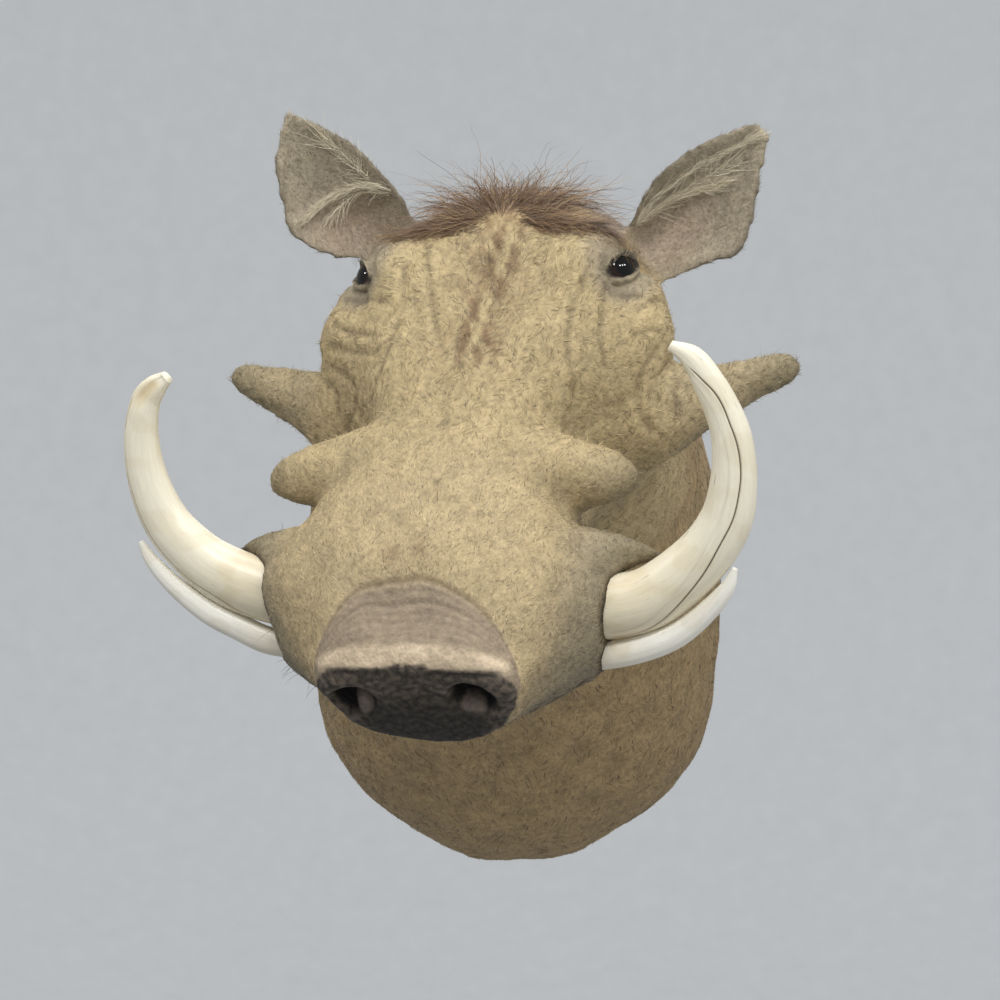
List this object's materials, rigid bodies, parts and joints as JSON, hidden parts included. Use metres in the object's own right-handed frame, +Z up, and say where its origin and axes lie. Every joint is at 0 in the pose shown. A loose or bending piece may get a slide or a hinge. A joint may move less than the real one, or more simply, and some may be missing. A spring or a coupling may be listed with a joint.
{
  "type": "warthog shoulder mount",
  "caption": "Wall-hung taxidermy mount of a warthog's head, neck and shoulders, with curved ivory tusks, face warts, mane and glass eyes.",
  "frame": {"origin": "on the back board's rear face, in the wall plane, near its middle and 0.25 m above the lowest point of the brisket", "axes": "+Z up, +Y into the wall, the animal looks out along -Y and a little towards -X; +X is the animal's left"},
  "size_m": [0.4269, 0.5734, 0.5663],
  "materials": {
    "hide": "tanned skin with short crinkled grey-tan hair, bare and dark on the nose disc, reddish brown on the mane",
    "ivory": "polished cream ivory with yellow-brown stains, long grooves and worn facets",
    "eye_glass": "very dark brown glass eye, clear and wet looking, black at the pupil",
    "plywood": "bare birch plywood, sawn edge",
    "hanger_steel": "zinc-plated steel"
  },
  "bodies": {
    "root": {"hide": "hide", "upper_tusk_left": "ivory", "upper_tusk_right": "ivory", "lower_tusk_left": "ivory", "lower_tusk_right": "ivory", "glass_eye_left": "eye_glass", "glass_eye_right": "eye_glass", "back_board": "plywood", "wall_hanger": "hanger_steel", "hanger_screw_left": "hanger_steel", "hanger_screw_right": "hanger_steel"}
  },
  "joints": []
}
